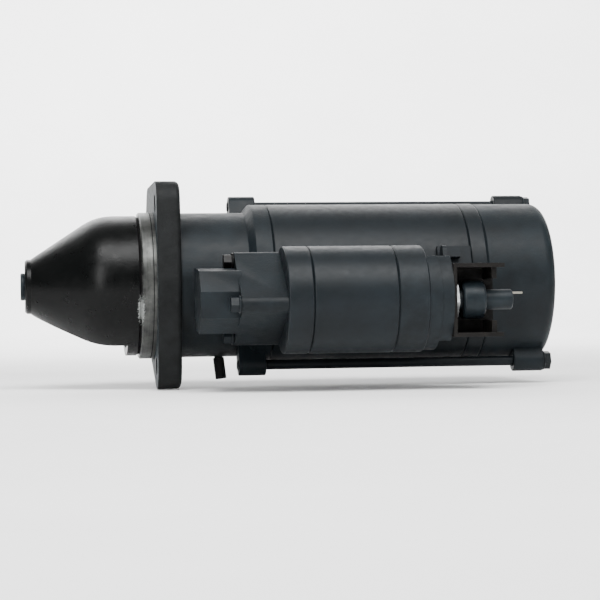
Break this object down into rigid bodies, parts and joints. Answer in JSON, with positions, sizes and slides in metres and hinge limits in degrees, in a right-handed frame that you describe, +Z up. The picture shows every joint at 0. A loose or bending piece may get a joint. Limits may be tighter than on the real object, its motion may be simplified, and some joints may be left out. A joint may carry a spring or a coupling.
{
  "type": "starter motor",
  "caption": "Heavy-duty pre-engaged starter motor: open cast nose, three-lobed flange, planetary reduction, side solenoid and outside through bolts.",
  "frame": {"origin": "centre of the pilot and bolt circle, at the flange's engine face", "axes": "-X along the motor axis towards the nose, +Z up, solenoid on the -Y side"},
  "size_m": [0.3222, 0.1809, 0.124],
  "materials": {
    "charcoal_paint": "satin charcoal paint over cast and rolled metal",
    "black_enamel": "glossy black enamel over rough casting",
    "moulded_cap": "painted phenolic moulding",
    "painted_hardware": "satin",
    "tinned_copper": "tinned",
    "black_rubber": "matte",
    "black_screws": "phosphated",
    "steel": "ground and machined",
    "bronze": "sintered",
    "gear_polymer": "glass-filled",
    "forged_lever": "phosphated forging",
    "magnet": "sintered ferrite",
    "laminations": "varnished laminations",
    "copper": "bare copper",
    "carbon": "pressed carbon and copper",
    "sheet_metal": "pressed sheet",
    "spring_wire": "drawn wire"
  },
  "bodies": {
    "housing": {"bearing_outer": "steel", "brush_boxes": "sheet_metal", "brush_plate": "sheet_metal", "brush_plate_screws": "black_screws", "brush_ring": "charcoal_paint", "brush_springs": "spring_wire", "centre_bush": "bronze", "centre_support": "steel", "coil_former": "gear_polymer", "drain_tube": "black_rubber", "drive_housing": "charcoal_paint", "field_magnets": "magnet", "lead_grommet": "black_rubber", "lever_pin": "steel", "motor_link": "copper", "motor_shield": "steel", "nose_bush": "bronze", "nose_housing": "black_enamel", "nose_plug": "painted_hardware", "rear_cover": "charcoal_paint", "return_spring": "spring_wire", "ring_gear": "gear_polymer", "sleeve_nut": "painted_hardware", "solenoid_can": "charcoal_paint", "solenoid_cap": "moulded_cap", "solenoid_core": "steel", "solenoid_ring": "charcoal_paint", "solenoid_screws": "black_screws", "solenoid_winding": "copper", "switch_tab": "tinned_copper", "terminal_guard": "moulded_cap", "terminal_nuts": "painted_hardware", "terminal_studs": "painted_hardware", "through_bolts": "charcoal_paint", "yoke": "charcoal_paint"},
    "armature": {"armature_shaft": "steel", "armature_core": "laminations", "armature_winding": "copper", "commutator": "copper", "commutator_hub": "gear_polymer", "bearing_inner": "steel"},
    "carrier": {"drive_shaft": "steel", "planet_pins": "steel", "pilot_bush": "bronze", "stop_collar": "steel"},
    "planet_1": {"planet_gear_1": "steel"},
    "planet_2": {"planet_gear_2": "steel"},
    "planet_3": {"planet_gear_3": "steel"},
    "clutch": {"clutch_shell": "steel", "clutch_cover": "steel", "clutch_rollers": "steel"},
    "pinion": {"drive_pinion": "steel"},
    "lever": {"shift_lever": "forged_lever"},
    "plunger": {"plunger": "steel", "contact_rod": "steel", "contact_disc": "copper"},
    "brush_1": {"carbon_brush_1": "carbon"},
    "brush_2": {"carbon_brush_2": "carbon"},
    "brush_3": {"carbon_brush_3": "carbon"},
    "brush_4": {"carbon_brush_4": "carbon"}
  },
  "joints": [
    {"name": "armature_spin", "type": "hinge", "parent": "housing", "child": "armature", "pos_m": [0.12, 0, 0], "axis": [1, 0, 0], "continuous": true},
    {"name": "carrier_spin", "type": "hinge", "parent": "housing", "child": "carrier", "pos_m": [0.04, 0, 0], "axis": [1, 0, 0], "continuous": true},
    {"name": "planet_1_spin", "type": "hinge", "parent": "carrier", "child": "planet_1", "pos_m": [0.0735, 0, 0.02363], "axis": [1, 0, 0], "continuous": true},
    {"name": "planet_2_spin", "type": "hinge", "parent": "carrier", "child": "planet_2", "pos_m": [0.0735, -0.02046, -0.01181], "axis": [1, 0, 0], "continuous": true},
    {"name": "planet_3_spin", "type": "hinge", "parent": "carrier", "child": "planet_3", "pos_m": [0.0735, 0.02046, -0.01181], "axis": [1, 0, 0], "continuous": true},
    {"name": "plunger_slide", "type": "slide", "parent": "housing", "child": "plunger", "axis": [1, 0, 0], "range_m": [0, 0.011], "stiffness_N_per_m": 1500, "springref_m": -0.02, "deforming": ["return_spring"]},
    {"name": "lever_swing", "type": "hinge", "parent": "housing", "child": "lever", "pos_m": [0.034, -0.04764, -0.00587], "axis": [0, -0.1222, 0.9925], "range_deg": [0, 18.95]},
    {"name": "clutch_slide", "type": "slide", "parent": "carrier", "child": "clutch", "axis": [-1, 0, 0], "range_m": [0, 0.01601]},
    {"name": "pinion_freewheel", "type": "hinge", "parent": "clutch", "child": "pinion", "pos_m": [-0.025, 0, 0], "axis": [1, 0, 0], "continuous": true},
    {"name": "brush_1_lift", "type": "slide", "parent": "housing", "child": "brush_1", "axis": [0, 0.7071, 0.7071], "range_m": [0, 0.003], "stiffness_N_per_m": 2000, "springref_m": -0.007, "deforming": ["brush_springs"]},
    {"name": "brush_2_lift", "type": "slide", "parent": "housing", "child": "brush_2", "axis": [0, -0.7071, 0.7071], "range_m": [0, 0.003], "stiffness_N_per_m": 2000, "springref_m": -0.007, "deforming": ["brush_springs"]},
    {"name": "brush_3_lift", "type": "slide", "parent": "housing", "child": "brush_3", "axis": [0, -0.7071, -0.7071], "range_m": [0, 0.003], "stiffness_N_per_m": 2000, "springref_m": -0.007, "deforming": ["brush_springs"]},
    {"name": "brush_4_lift", "type": "slide", "parent": "housing", "child": "brush_4", "axis": [0, 0.7071, -0.7071], "range_m": [0, 0.003], "stiffness_N_per_m": 2000, "springref_m": -0.007, "deforming": ["brush_springs"]}
  ],
  "couplings": [
    {"joint": "carrier_spin", "follows": "armature_spin", "ratio": 0.22222},
    {"joint": "planet_1_spin", "follows": "armature_spin", "ratio": -0.62222},
    {"joint": "planet_2_spin", "follows": "armature_spin", "ratio": -0.62222},
    {"joint": "planet_3_spin", "follows": "armature_spin", "ratio": -0.62222},
    {"joint": "lever_swing", "follows": "plunger_slide", "rad_per_m": 30.027},
    {"joint": "clutch_slide", "follows": "plunger_slide", "ratio": 1.4545}
  ]
}
